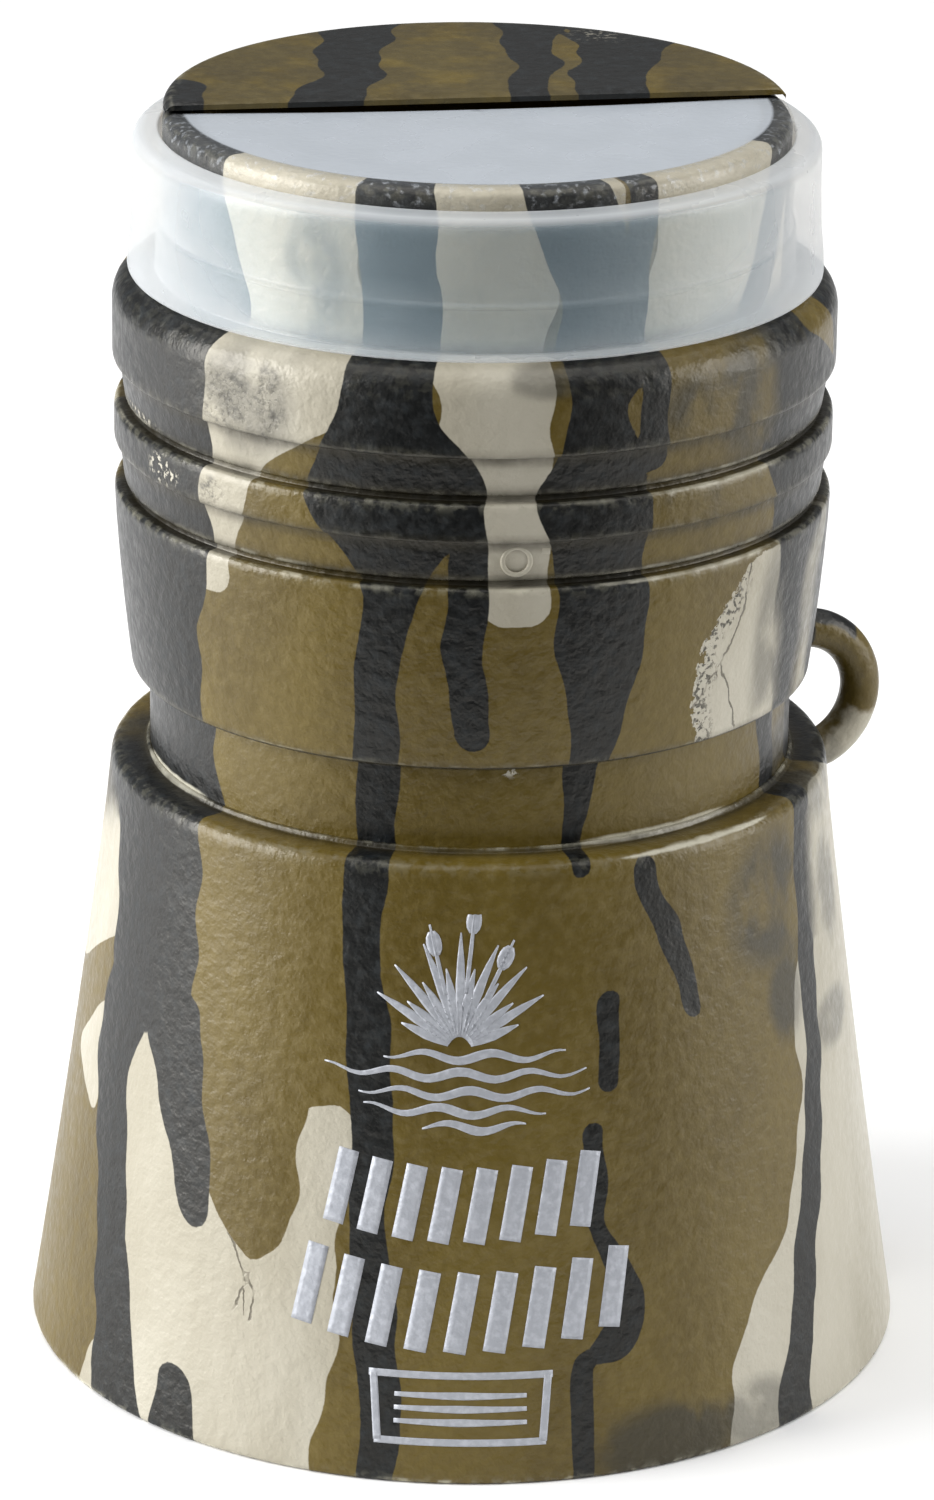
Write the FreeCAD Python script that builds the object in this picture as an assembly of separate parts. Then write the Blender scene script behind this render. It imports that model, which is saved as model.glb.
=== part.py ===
"""Half-moon membrane tube call: flared bell, slip neck, ribbed barrel, latex reed and clamping ring.

Millimetres. Z is up and is the axis of the tube. The origin is the centre of the bell's foot. The player's
side, where the reed is, faces -Y.
"""
import FreeCAD, Part
import math
import os

Vector = FreeCAD.Vector
Z_AXIS = Vector(0, 0, 1)

# ---- driving dimensions -------------------------------------------------------------------------
OVERALL_HEIGHT = 89.9
MOUTH_TURN = 9.0                 # degrees, the reed's straight edge about Z

# bell
FOOT_RADIUS = 31.3
BELL_WALL = 1.8
WAIST_HEIGHT, WAIST_RADIUS = 21.6, 28.0
SHOULDER_HEIGHT = 43.2
SHOULDER_RADIUS = 25.2
SHOULDER_ROUND = 0.7
FOOT_ROUND = 0.4
COLLAR_WIDTH, COLLAR_HEIGHT = 0.35, 0.35

# neck tube and its seal
NECK_RADIUS = 22.55
NECK_BORE = 20.2
NECK_TOP = 75.2
NECK_FLANGE_RADIUS, NECK_FLANGE_THICKNESS = 23.1, 1.4
NECK_TOP_CHAMFER = 0.5
SEAL_HEIGHT = 70.0
SEAL_SECTION_RADIUS = 0.62
SEAL_RADIUS = 21.99              # centre line of the O-ring
SEAL_GROOVE_RADIUS = 21.3
SEAL_GROOVE_WIDTH = 1.6

# lanyard eye
EYE_TURN = 22.5                  # degrees from +X towards +Y
EYE_WIRE_RADIUS = 1.42
EYE_RING_RADIUS = 4.85
EYE_OFFSET = 25.7
EYE_HEIGHT = 43.5

# barrel, outside
SKIRT_BOTTOM = 49.6
SKIRT_BOTTOM_RADIUS = 23.8
SKIRT_MIDDLE_RADIUS, SKIRT_MIDDLE_HEIGHT = 24.5, 56.0
SKIRT_TOP_RADIUS, SKIRT_TOP = 24.95, 62.7
GROOVE_RADIUS = 24.0
EDGE_ROUND = 0.35
# each rib: bottom, edge and top heights, then the radii of its undercut band and of its face
LOWER_RIB = (63.1, 65.9, 68.6, 24.25, 24.6, 24.95)
UPPER_RIB = (69.0, 71.8, 77.95, 24.2, 24.6, 25.05)
UPPER_RIB_ROUND_START = 76.1
UPPER_RIB_INNER_RADIUS = 22.8
RIM_RADIUS = 21.55
RIM_TOP = 89.0
RIM_ROUND = 0.8

# barrel, inside
SLIP_BORE = 22.65
LEDGE_HEIGHT = 75.5
THROAT_RADIUS = 20.0
WINDOW_RADIUS = 19.3
WINDOW_DEPTH = 1.8
LIP_SLOPE = 0.7
LIP_ROUND = 0.3

# moulding gate mark on the barrel
GATE_TURN = -83.0                # degrees from +X
GATE_HEIGHT = 64.55
GATE_OUTER, GATE_INNER, GATE_PROUD = 1.1, 0.75, 0.2
GATE_TAB, GATE_TAB_SIDE, GATE_TAB_RAISE = 0.7, 1.6, 0.4

# mouth plate
PLATE_RADIUS = 21.5
PLATE_ROUND = 0.75
PLATE_SPIGOT_OUTER, PLATE_SPIGOT_INNER = 19.25, 17.9
PLATE_SPIGOT_DEPTH = 1.6
PLATE_RELIEF_LENGTH, PLATE_RELIEF_HEIGHT = 1.5, 0.3

# latex
LATEX = 0.2
LATEX_SKIRT_BOTTOM = 81.0
LATEX_EDGE_GAP = 0.3             # between the membrane's straight edge and the plate
TONGUE_RADIUS = WINDOW_RADIUS - 0.3
TONGUE_END_SETBACK, TONGUE_MIDDLE_SETBACK = 0.4, 1.2

# clamping ring
RING_BOTTOM, RING_TOP = 78.05, 87.85
RING_BORE = RIM_RADIUS + LATEX + 0.05
RING_COUNTERBORE, RING_STEP_HEIGHT = 22.05, 81.5
RING_FOOT_RADIUS, RING_BODY_RADIUS = 24.0, 23.65

FAR = 60.0                       # longer than any piece is wide


# ---- helpers ------------------------------------------------------------------------------------
def at(radius, height):
    return Vector(radius, 0, height)


def on_arc(centre, radius, degrees):
    """Point of a circle in the profile plane."""
    angle = math.radians(degrees)
    return at(centre[0] + radius * math.cos(angle), centre[1] + radius * math.sin(angle))


def corner(centre, radius, start, end):
    """Arc edge between two angles, in degrees, about a centre in the profile plane."""
    middle = (start + end) / 2
    points = [on_arc(centre, radius, degrees) for degrees in (start, middle, end)]
    return Part.Arc(*points).toShape()


def through(start, middle, end):
    return Part.Arc(at(*start), at(*middle), at(*end)).toShape()


def turned(pieces):
    """Solid of revolution. pieces are points and arc edges in order; gaps become straight lines."""
    edges = []
    first = None
    last = None
    for piece in pieces:
        is_arc = isinstance(piece, Part.Shape)
        start = piece.firstVertex(True).Point if is_arc else at(*piece)
        end = piece.lastVertex(True).Point if is_arc else start
        if last is not None and last.distanceToPoint(start) > 1e-6:
            edges.append(Part.makeLine(last, start))
        if is_arc:
            edges.append(piece)
        if first is None:
            first = start
        last = end
    if last.distanceToPoint(first) > 1e-6:
        edges.append(Part.makeLine(last, first))
    return Part.Face(Part.Wire(edges)).revolve(Vector(0, 0, 0), Z_AXIS, 360)


def solid_of(shape):
    """The one solid in a boolean's result."""
    if len(shape.Solids) != 1:
        raise ValueError("%d solids where one is expected" % len(shape.Solids))
    return shape.Solids[0]


def mouth_box(low_y, high_y, low_z, high_z):
    """Box across the whole mouth, before the mouth's turn."""
    return Part.makeBox(2 * FAR, high_y - low_y, high_z - low_z, Vector(-FAR, low_y, low_z))


def turn_mouth(shape):
    turned_shape = shape.copy()
    turned_shape.rotate(Vector(0, 0, 0), Z_AXIS, MOUTH_TURN)
    return turned_shape


# ---- bell body ----------------------------------------------------------------------------------
def bell_outline(inset, bottom, top_radius_height):
    """Concave flank of the bell, moved in by the wall for its inside."""
    return through(
        (FOOT_RADIUS - inset, bottom),
        (WAIST_RADIUS - inset, WAIST_HEIGHT),
        (SHOULDER_RADIUS - inset, top_radius_height),
    )


def bell_horn():
    roof = SHOULDER_HEIGHT - BELL_WALL
    collar_top = SHOULDER_HEIGHT + COLLAR_HEIGHT
    shoulder_centre = (SHOULDER_RADIUS - SHOULDER_ROUND, SHOULDER_HEIGHT - SHOULDER_ROUND)
    foot_inner = FOOT_RADIUS - BELL_WALL
    return turned([
        (foot_inner, 0),
        (FOOT_RADIUS - FOOT_ROUND, 0),
        bell_outline(0, FOOT_ROUND, SHOULDER_HEIGHT - SHOULDER_ROUND),
        corner(shoulder_centre, SHOULDER_ROUND, 0, 90),
        (NECK_RADIUS + COLLAR_WIDTH, SHOULDER_HEIGHT),
        (NECK_RADIUS, collar_top),
        (NECK_RADIUS, roof),
        (SHOULDER_RADIUS - BELL_WALL, roof),
        (SHOULDER_RADIUS - BELL_WALL, roof - 0.4),
        (WAIST_RADIUS - BELL_WALL, WAIST_HEIGHT),
    ])


def neck_tube():
    roof = SHOULDER_HEIGHT - BELL_WALL
    flange_bottom = roof - NECK_FLANGE_THICKNESS
    groove_low = SEAL_HEIGHT - SEAL_GROOVE_WIDTH / 2
    groove_high = SEAL_HEIGHT + SEAL_GROOVE_WIDTH / 2
    return turned([
        (NECK_BORE, flange_bottom),
        (NECK_FLANGE_RADIUS, flange_bottom),
        (NECK_FLANGE_RADIUS, roof),
        (NECK_RADIUS, roof),
        (NECK_RADIUS, groove_low),
        (SEAL_GROOVE_RADIUS, groove_low),
        (SEAL_GROOVE_RADIUS, groove_high),
        (NECK_RADIUS, groove_high),
        (NECK_RADIUS, NECK_TOP - NECK_TOP_CHAMFER),
        (NECK_RADIUS - NECK_TOP_CHAMFER, NECK_TOP),
        (NECK_BORE, NECK_TOP),
    ])


def lanyard_eye(bell, neck):
    """Ring in a vertical plane, trimmed where it grows out of the shoulder and meets the neck."""
    ring = Part.makeTorus(EYE_RING_RADIUS, EYE_WIRE_RADIUS, at(EYE_OFFSET, EYE_HEIGHT), Vector(0, 1, 0))
    ring.rotate(Vector(0, 0, 0), Z_AXIS, EYE_TURN)
    inside_bell = turned([
        (0, 0),
        (FOOT_RADIUS - BELL_WALL, 0),
        (SHOULDER_RADIUS - BELL_WALL, SHOULDER_HEIGHT - BELL_WALL),
        (NECK_RADIUS, SHOULDER_HEIGHT - BELL_WALL),
        (NECK_RADIUS, NECK_TOP),
        (0, NECK_TOP),
    ])
    outside = ring.cut(bell).cut(neck).cut(inside_bell)
    return solid_of(outside)


def neck_o_ring():
    return Part.makeTorus(SEAL_RADIUS, SEAL_SECTION_RADIUS, Vector(0, 0, SEAL_HEIGHT), Z_AXIS)


# ---- barrel body --------------------------------------------------------------------------------
def rib(bottom, edge, top, band_low, band_high, face):
    """Undercut band, then a face that stands proud of it. Ends at the start of the face's top round."""
    return [
        (GROOVE_RADIUS, bottom),
        (band_low, bottom),
        (band_high, edge),
        corner((face - EDGE_ROUND, edge + EDGE_ROUND), EDGE_ROUND, -90, 0),
    ]


def gate_mark():
    """Raised ring and tab where the barrel's mould was filled, reaching into the wall."""
    wall = LOWER_RIB[3]
    depth = 1.0
    start = Vector(wall - depth, 0, GATE_HEIGHT)
    outward = Vector(1, 0, 0)
    disc = Part.makeCylinder(GATE_OUTER, depth + 2 * GATE_PROUD, start, outward)
    hollow = Part.makeCylinder(GATE_INNER, depth + 2 * GATE_PROUD, start, outward)
    tab_corner = Vector(wall - depth, GATE_TAB_SIDE, GATE_HEIGHT + GATE_TAB_RAISE)
    tab = Part.makeBox(depth + 2 * GATE_PROUD, GATE_TAB, GATE_TAB, tab_corner)
    mark = disc.cut(hollow).fuse(tab)
    mark.rotate(Vector(0, 0, 0), Z_AXIS, GATE_TURN)
    return mark


def barrel_shell():
    skirt_round = (SKIRT_TOP_RADIUS - EDGE_ROUND, SKIRT_TOP - EDGE_ROUND)
    lower_round = (LOWER_RIB[5] - EDGE_ROUND, LOWER_RIB[2] - EDGE_ROUND)
    bottom_round = (SKIRT_BOTTOM_RADIUS - EDGE_ROUND / 2, SKIRT_BOTTOM + EDGE_ROUND / 2)
    rim_round = (RIM_RADIUS - RIM_ROUND, RIM_TOP - RIM_ROUND)
    window_bottom = RIM_TOP - WINDOW_DEPTH
    outline = [
        (SLIP_BORE, SKIRT_BOTTOM),
        corner(bottom_round, EDGE_ROUND / 2, -90, 0),
        through(
            (SKIRT_BOTTOM_RADIUS, bottom_round[1]),
            (SKIRT_MIDDLE_RADIUS, SKIRT_MIDDLE_HEIGHT),
            (SKIRT_TOP_RADIUS, skirt_round[1]),
        ),
        corner(skirt_round, EDGE_ROUND, 0, 90),
        (GROOVE_RADIUS, SKIRT_TOP),
        *rib(*LOWER_RIB),
        corner(lower_round, EDGE_ROUND, 0, 90),
        (GROOVE_RADIUS, LOWER_RIB[2]),
        *rib(*UPPER_RIB),
        through(
            (UPPER_RIB[5], UPPER_RIB_ROUND_START),
            (UPPER_RIB[5] - 0.55, UPPER_RIB_ROUND_START + 1.15),
            (UPPER_RIB_INNER_RADIUS, UPPER_RIB[2]),
        ),
        (RIM_RADIUS, UPPER_RIB[2]),
        corner(rim_round, RIM_ROUND, 0, 90),
        corner((WINDOW_RADIUS + LIP_ROUND, RIM_TOP - LIP_ROUND), LIP_ROUND, 90, 180),
        (WINDOW_RADIUS, window_bottom),
        (THROAT_RADIUS, window_bottom - LIP_SLOPE),
        (THROAT_RADIUS, LEDGE_HEIGHT),
        (SLIP_BORE, LEDGE_HEIGHT),
    ]
    return solid_of(turned(outline).fuse(gate_mark()).removeSplitter())


def mouth_plate():
    """Half-disc that closes the rear of the mouth, with a half-ring spigot in the window."""
    edge_centre = (PLATE_RADIUS - PLATE_ROUND, OVERALL_HEIGHT - PLATE_ROUND)
    disc = turned([
        (0, RIM_TOP),
        (PLATE_RADIUS, RIM_TOP),
        corner(edge_centre, PLATE_ROUND, 0, 90),
        (0, OVERALL_HEIGHT),
    ])
    spigot_bottom = RIM_TOP - PLATE_SPIGOT_DEPTH
    spigot = turned([
        (PLATE_SPIGOT_INNER, spigot_bottom),
        (PLATE_SPIGOT_OUTER, spigot_bottom),
        (PLATE_SPIGOT_OUTER, RIM_TOP),
        (PLATE_SPIGOT_INNER, RIM_TOP),
    ])
    half_disc = disc.common(mouth_box(0, FAR, 0, FAR * 2))
    half_spigot = spigot.common(mouth_box(PLATE_RELIEF_LENGTH, FAR, 0, FAR * 2))
    relief = mouth_box(0, PLATE_RELIEF_LENGTH, RIM_TOP, RIM_TOP + PLATE_RELIEF_HEIGHT)
    return turn_mouth(solid_of(half_disc.fuse(half_spigot).cut(relief).removeSplitter()))


def latex_skirt():
    """The clamped part of the membrane: over the rim and down inside the ring, on the front half."""
    outer = RIM_RADIUS + LATEX
    rim_round = (RIM_RADIUS - RIM_ROUND, RIM_TOP - RIM_ROUND)
    sleeve = turned([
        (RIM_RADIUS, LATEX_SKIRT_BOTTOM),
        (outer, LATEX_SKIRT_BOTTOM),
        corner(rim_round, RIM_ROUND + LATEX, 0, 90),
        (WINDOW_RADIUS, RIM_TOP + LATEX),
        (WINDOW_RADIUS, RIM_TOP),
        corner(rim_round, RIM_ROUND, 90, 0),
    ])
    front = mouth_box(-FAR, -LATEX_EDGE_GAP, 0, FAR * 2)
    return turn_mouth(solid_of(sleeve.common(front)))


def latex_tongue():
    """The free part of the membrane, a half-moon with a slightly hollow straight edge."""
    half_width = math.sqrt(TONGUE_RADIUS ** 2 - TONGUE_END_SETBACK ** 2)
    left = Vector(-half_width, -TONGUE_END_SETBACK, RIM_TOP)
    right = Vector(half_width, -TONGUE_END_SETBACK, RIM_TOP)
    free_edge = Part.Arc(right, Vector(0, -TONGUE_MIDDLE_SETBACK, RIM_TOP), left).toShape()
    round_edge = Part.Arc(left, Vector(0, -TONGUE_RADIUS, RIM_TOP), right).toShape()
    outline = Part.Face(Part.Wire([free_edge, round_edge]))
    return turn_mouth(outline.extrude(Vector(0, 0, LATEX)))


# ---- ring body ----------------------------------------------------------------------------------
def retaining_ring():
    return turned([
        (RING_COUNTERBORE, RING_BOTTOM),
        (RING_FOOT_RADIUS - 0.2, RING_BOTTOM),
        (RING_FOOT_RADIUS, RING_BOTTOM + 0.2),
        (RING_FOOT_RADIUS, RING_BOTTOM + 0.9),
        (RING_BODY_RADIUS + 0.1, RING_STEP_HEIGHT),
        (RING_BODY_RADIUS, RING_STEP_HEIGHT + 3),
        through(
            (RING_BODY_RADIUS, RING_TOP - 1.1),
            (RING_BODY_RADIUS - 0.15, RING_TOP - 0.65),
            (RING_BODY_RADIUS - 0.5, RING_TOP - 0.4),
        ),
        (RING_BORE + 0.15, RING_TOP),
        (RING_BORE, RING_TOP - 0.15),
        (RING_BORE, RING_STEP_HEIGHT),
        (RING_COUNTERBORE, RING_STEP_HEIGHT),
    ])


def main():
    os.makedirs("parts", exist_ok=True)
    bell = bell_horn()
    neck = neck_tube()
    nodes = {
        "bell_horn": bell,
        "neck_tube": neck,
        "lanyard_eye": lanyard_eye(bell, neck),
        "neck_o_ring": neck_o_ring(),
        "barrel_shell": barrel_shell(),
        "mouth_plate": mouth_plate(),
        "latex_skirt": latex_skirt(),
        "latex_tongue": latex_tongue(),
        "retaining_ring": retaining_ring(),
    }
    for name, shape in nodes.items():
        if not shape.isValid():
            raise ValueError(name + " is not a valid solid")
        shape.exportStep("parts/" + name + ".step")
        print("%-16s %9.1f mm3" % (name, shape.Volume))


main()
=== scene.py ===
"""Looks of the half-moon tube call: pebbled camouflaged shells, latex, a frosted ring and a pad print.

Lengths are millimetres until a mesh is made. Angles round the tube are degrees, 0 at the front (-Y) and
positive to the right (+X). The mouth has its own X and Y, turned with the reed's straight edge.
"""
import math

import bpy
import numpy as np
from mathutils import Matrix, Vector


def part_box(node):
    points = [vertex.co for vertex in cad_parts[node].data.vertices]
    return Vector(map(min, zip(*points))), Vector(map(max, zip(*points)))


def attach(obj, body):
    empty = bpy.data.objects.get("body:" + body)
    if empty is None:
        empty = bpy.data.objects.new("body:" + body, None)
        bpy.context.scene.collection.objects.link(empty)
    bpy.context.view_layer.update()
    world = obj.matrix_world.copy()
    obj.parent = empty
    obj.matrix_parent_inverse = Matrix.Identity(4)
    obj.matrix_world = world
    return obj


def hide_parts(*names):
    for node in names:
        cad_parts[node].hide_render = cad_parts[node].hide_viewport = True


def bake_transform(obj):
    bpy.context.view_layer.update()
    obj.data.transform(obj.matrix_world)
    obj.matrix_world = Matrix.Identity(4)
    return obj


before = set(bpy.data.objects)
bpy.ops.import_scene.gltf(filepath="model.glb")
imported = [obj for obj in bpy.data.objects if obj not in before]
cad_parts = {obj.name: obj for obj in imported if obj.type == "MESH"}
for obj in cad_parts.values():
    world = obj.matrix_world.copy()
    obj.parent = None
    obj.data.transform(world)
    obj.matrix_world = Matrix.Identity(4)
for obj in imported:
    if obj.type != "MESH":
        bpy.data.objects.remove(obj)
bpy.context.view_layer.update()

MM = 0.001


# ---- sizes -------------------------------------
def node_box(node):
    low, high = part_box(node)
    return np.array(low) / MM, np.array(high) / MM


_, BELL_HIGH = node_box("bell_horn")
NECK_LOW, NECK_HIGH = node_box("neck_tube")
BARREL_LOW, BARREL_HIGH = node_box("barrel_shell")
_, PLATE_HIGH = node_box("mouth_plate")
RING_LOW, RING_HIGH = node_box("retaining_ring")
LATEX_LOW, _ = node_box("latex_skirt")

FOOT_RADIUS = BELL_HIGH[0]
COLLAR_TOP = BELL_HIGH[2]
SHOULDER_Z = COLLAR_TOP - 0.35
SHOULDER_RADIUS, SHOULDER_BEND_Z = 25.2, 42.4
WAIST_Z, WAIST_RADIUS = 21.6, 28.0
WALL = 1.8
NECK_RADIUS, NECK_BORE = 22.55, 20.2
COLLAR_FOOT_RADIUS, COLLAR_TOP_RADIUS = NECK_RADIUS + 0.35, NECK_RADIUS + 0.2
SEAL_Z, SEAL_DEPTH, SEAL_WIDTH = 70.0, 1.25, 1.6
BARREL_BOTTOM = BARREL_LOW[2]
RIM_TOP = BARREL_HIGH[2]
BARREL_FOOT_RADIUS, BARREL_RADIUS, UPPER_RIB_RADIUS = 23.8, 24.95, 25.05
SKIRT_TOP, LOWER_RIB_TOP, RIM_FOOT = 62.7, 68.6, 77.95
LOWER_RIB = (63.1, 65.9, 24.25, 24.6, BARREL_RADIUS)
UPPER_RIB = (69.0, 71.8, 24.2, 24.6, UPPER_RIB_RADIUS)
RIB_CREASES = (65.8, 71.7)       # heights of the fine lines of painted shade under the ribs' faces
SEAM_SHADE, CREASE_SHADE = 2.2, 0.9    # how dark the painted shade at the barrel's seam and in the ribs' creases is
CREASE_CLEAN = 0.85              # share of an edge's rubbing and painted highlight that a crease takes away
RIM_RADIUS = 21.55
RIM_ROUND = 0.8
WINDOW_RADIUS = 19.3
THROAT_RADIUS = 20.0
SLIP_BORE = 22.65
LEDGE_Z = 75.5
GROOVE_RADIUS = 24.0
PLATE_TOP = PLATE_HIGH[2]
PLATE_RADIUS, PLATE_ROUND = 21.5, 0.75
PLATE_GAP = 0.42                 # how far the underside of its front edge stands off the rim
SPIGOT_INNER, SPIGOT_OUTER, SPIGOT_DEPTH = 17.9, 19.25, 1.6
MOUTH_TURN = 9.0
GATE_AZIMUTH, GATE_Z, GATE_RADIUS = 7.0, 64.55, 24.42
GATE_RING, GATE_WIRE = 0.93, 0.17
RING_RADIUS = RING_HIGH[0]
RING_BORE = 21.8
RING_STEP_Z = 81.5
RING_COUNTERBORE = 22.05
RING_BAND_RADIUS = 23.65
LATEX = 0.2
LATEX_PRESS = 0.06               # how far its inner face sinks into the rim
CLEAR_RADIUS = 20.1              # the sheet clings and turns clear from here outwards
EYE_TURN, EYE_OFFSET, EYE_Z, EYE_RADIUS, EYE_WIRE = 112.5, 25.7, 43.5, 4.85, 1.42
EYE_START, EYE_END = -102, 146   # degrees round the eye's wire, 0 at its outermost

SEGMENTS = 420                   # round a full turn of a shell
ROW_STEP = 0.42                  # along a painted outline
INSIDE_STEP = 1.6                # along the unpainted side that faces the axis
ROUND_POINTS = 5                 # on each rounded corner of an outline


def unit(value):
    """Value held between 0 and 1."""
    return np.clip(value, 0, 1)


# ---- outlines ----------------------------------
def circle_through(start, middle, end, count):
    """Points along the arc through three points, both ends included."""
    (ax, ay), (bx, by), (cx, cy) = start, middle, end
    d = 2 * (ax * (by - cy) + bx * (cy - ay) + cx * (ay - by))
    a2, b2, c2 = ax * ax + ay * ay, bx * bx + by * by, cx * cx + cy * cy
    x = (a2 * (by - cy) + b2 * (cy - ay) + c2 * (ay - by)) / d
    y = (a2 * (cx - bx) + b2 * (ax - cx) + c2 * (bx - ax)) / d
    angles = np.unwrap([math.atan2(p[1] - y, p[0] - x) for p in (start, middle, end)])
    sweep = np.linspace(angles[0], angles[2], count)
    radius = math.hypot(ax - x, ay - y)
    return [(x + radius * math.cos(t), y + radius * math.sin(t)) for t in sweep]


def soften(corners):
    """Closed outline from (radius, height, round) corners, each round drawn as a curve of its own size."""
    points = []
    count = len(corners)
    for i, (r, z, size) in enumerate(corners):
        here = np.array([r, z])
        if size == 0:
            points.append(here)
            continue
        before = np.array(corners[i - 1][:2]) - here
        after = np.array(corners[(i + 1) % count][:2]) - here
        reach_in = min(size, 0.48 * np.linalg.norm(before))
        reach_out = min(size, 0.48 * np.linalg.norm(after))
        first = here + before / np.linalg.norm(before) * reach_in
        last = here + after / np.linalg.norm(after) * reach_out
        for t in np.linspace(0, 1, ROUND_POINTS):
            points.append(first * (1 - t) ** 2 + 2 * here * t * (1 - t) + last * t * t)
    return np.array(points)


def divide(points):
    """Adds points along the long runs of an anticlockwise outline, fewer on the side that faces the axis."""
    out = []
    for start, end in zip(points, np.roll(points, -1, axis=0)):
        step = INSIDE_STEP if end[1] < start[1] - 0.2 else ROW_STEP
        count = max(1, math.ceil(np.linalg.norm(end - start) / step))
        out.extend(start + (end - start) * k / count for k in range(count))
    return np.array(out)


def winding(points):
    """1 for an anticlockwise closed outline, -1 for a clockwise one."""
    x, y = points[:, 0], points[:, 1]
    return np.sign((x * np.roll(y, -1) - np.roll(x, -1) * y).sum())


def corner_weights(points):
    """How sharply a closed outline turns out (edge) and in (groove) at each point, spread a little."""
    before = points - np.roll(points, 1, axis=0)
    after = np.roll(points, -1, axis=0) - points
    cross = before[:, 0] * after[:, 1] - before[:, 1] * after[:, 0]
    turn = np.arctan2(cross, (before * after).sum(axis=1)) * winding(points)
    length = np.concatenate([[0], np.cumsum(np.linalg.norm(after, axis=1))])
    along, total = length[:-1], length[-1]
    gap = np.abs(along[:, None] - along[None, :])
    gap = np.minimum(gap, total - gap)
    edge = (np.exp(-(gap / 0.2) ** 2) * np.clip(turn, 0, None)[None, :]).sum(axis=1)
    groove = (np.exp(-(gap / 0.5) ** 2) * np.clip(-turn, 0, None)[None, :]).sum(axis=1)
    return unit(edge), unit(groove)


# ---- meshes ------------------------------------
def make_object(name, verts, faces, values=None):
    """Mesh object from millimetres, smooth shaded, facing outwards, with named point values on it."""
    mesh = bpy.data.meshes.new(name)
    verts = np.asarray(verts, float)
    mesh.from_pydata((verts * MM).tolist(), [], faces)
    for key, value in (values or {}).items():
        attribute = mesh.attributes.new(key, "FLOAT", "POINT")
        attribute.data.foreach_set("value", np.asarray(value, np.float32))
    mesh.calc_loop_triangles()
    corners = np.empty(len(mesh.loop_triangles) * 3, np.int64)
    mesh.loop_triangles.foreach_get("vertices", corners)
    a, b, c = (verts[corners[k::3]] for k in range(3))
    if (a * np.cross(b, c)).sum() < 0:
        mesh.flip_normals()
    mesh.shade_smooth()
    mesh.update()
    obj = bpy.data.objects.new(name, mesh)
    bpy.context.scene.collection.objects.link(obj)
    return obj


def round_tube(r, azimuth, z):
    """Cylindrical place to X, Y, Z."""
    a = np.radians(azimuth)
    return np.stack([r * np.sin(a), -r * np.cos(a), z], axis=-1)


def sweep_grid(points, azimuths, closed):
    """Vertices and quads of an outline turned through azimuths, with flat end caps when not closed."""
    rows = len(points)
    turns = len(azimuths)
    r = np.repeat(points[None, :, 0], turns, axis=0)
    z = np.repeat(points[None, :, 1], turns, axis=0)
    az = np.repeat(np.asarray(azimuths)[:, None], rows, axis=1)
    verts = round_tube(r, az, z).reshape(-1, 3)
    faces = []
    for i in range(turns if closed else turns - 1):
        a, b = i * rows, ((i + 1) % turns) * rows
        faces.extend((a + k, a + (k + 1) % rows, b + (k + 1) % rows, b + k) for k in range(rows))
    if not closed:
        faces.append(tuple(range(rows - 1, -1, -1)))
        faces.append(tuple(range((turns - 1) * rows, turns * rows)))
    return verts, faces


def shell(points):
    """Vertices and faces of an outline's full turn, with its edge and groove values."""
    azimuths = np.arange(SEGMENTS) * 360.0 / SEGMENTS - 180.0
    verts, faces = sweep_grid(points, azimuths, True)
    edge, groove = corner_weights(points)
    return verts, faces, {"edge": np.tile(edge, SEGMENTS), "groove": np.tile(groove, SEGMENTS)}


# ---- camouflage --------------------------------
# Each drip is a run of (height, left, right) levels: the height in mm and its two sides in degrees. The
# levels only say roughly where a mass hangs, and its outline is a random sway. Olive lies under everything,
# then cream, then bays of olive let into the cream, then charcoal.
DARK_DRIPS = [
    [(95, -22, -10), (76, -20, -5), (69, -27, 2), (62, -17, -9), (45, -20, -13), (28, -17, -11),
     (-5, -12, -7)],
    [(70, -4, 2), (51, -3, 3)],
    [(95, 5, 21), (80, 15, 32), (75, 15, 23), (69, 11, 30), (57, 14, 27), (50, 17, 24), (42, 16, 19)],
    [(95, 28, 34), (70, 26, 31)],
    [(95, -95, -55), (78, -95, -45), (66, -84, -46), (58, -95, -48), (44, -95, -50), (40, -71, -46),
     (28, -66, -43)],
    [(31, -66, -52), (24, -69, -57), (12, -61, -54), (6, -58, -49), (-5, -56, -42)],
    [(31, -57, -43), (22, -48, -39), (15, -43, -38)],
    [(5, -43, -38), (-5, -46, -36)],
    [(43, 26, 30), (40, 27, 31), (38, 30, 35), (35, 32, 36), (31, 35, 38)],
    [(34, 20, 24), (27, 20, 23)],
    [(25, 17, 20), (18, 17, 20), (13, 22, 26), (8, 16, 23)],
    [(9, 15, 18), (-5, 14, 17)],
    [(95, 75, 95), (77, 54, 64), (69, 53, 95), (60, 58, 69), (42, 63, 69), (20, 58, 63), (4, 47, 53),
     (-5, 44, 52)],
]
CREAM_DRIPS = [
    [(95, -53, -21), (74, -52, -18), (70, -50, -35), (60, -50, -42)],
    [(95, -12, 5), (82, -12, 14), (73, -5, 12), (67, 0, 12), (60, 2, 12)],
    [(95, 21, 28), (83, 21, 27)],
    [(95, 34, 80), (78, 31, 78)],
    [(66, -78, -60), (59, -95, -60)],
    [(63, 65, 80), (50, 70, 80)],
    [(30, -57, -53), (12, -60, -40)],
    [(26, -21, -17), (23, -40, -15), (14, -57, -17), (-5, -50, -20)],
    [(4, -58, -54), (-5, -62, -54)],
    [(43, 68, 96), (32, 60, 92), (22, 57, 89), (14, 50, 95), (5, 38, 99), (-5, 36, 99)],
    [(41, -75, -66), (33, -104, -64), (27, -104, -84)],
    [(27, -69, -66), (22, -79, -66), (19, -69, -66)],
]
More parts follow.
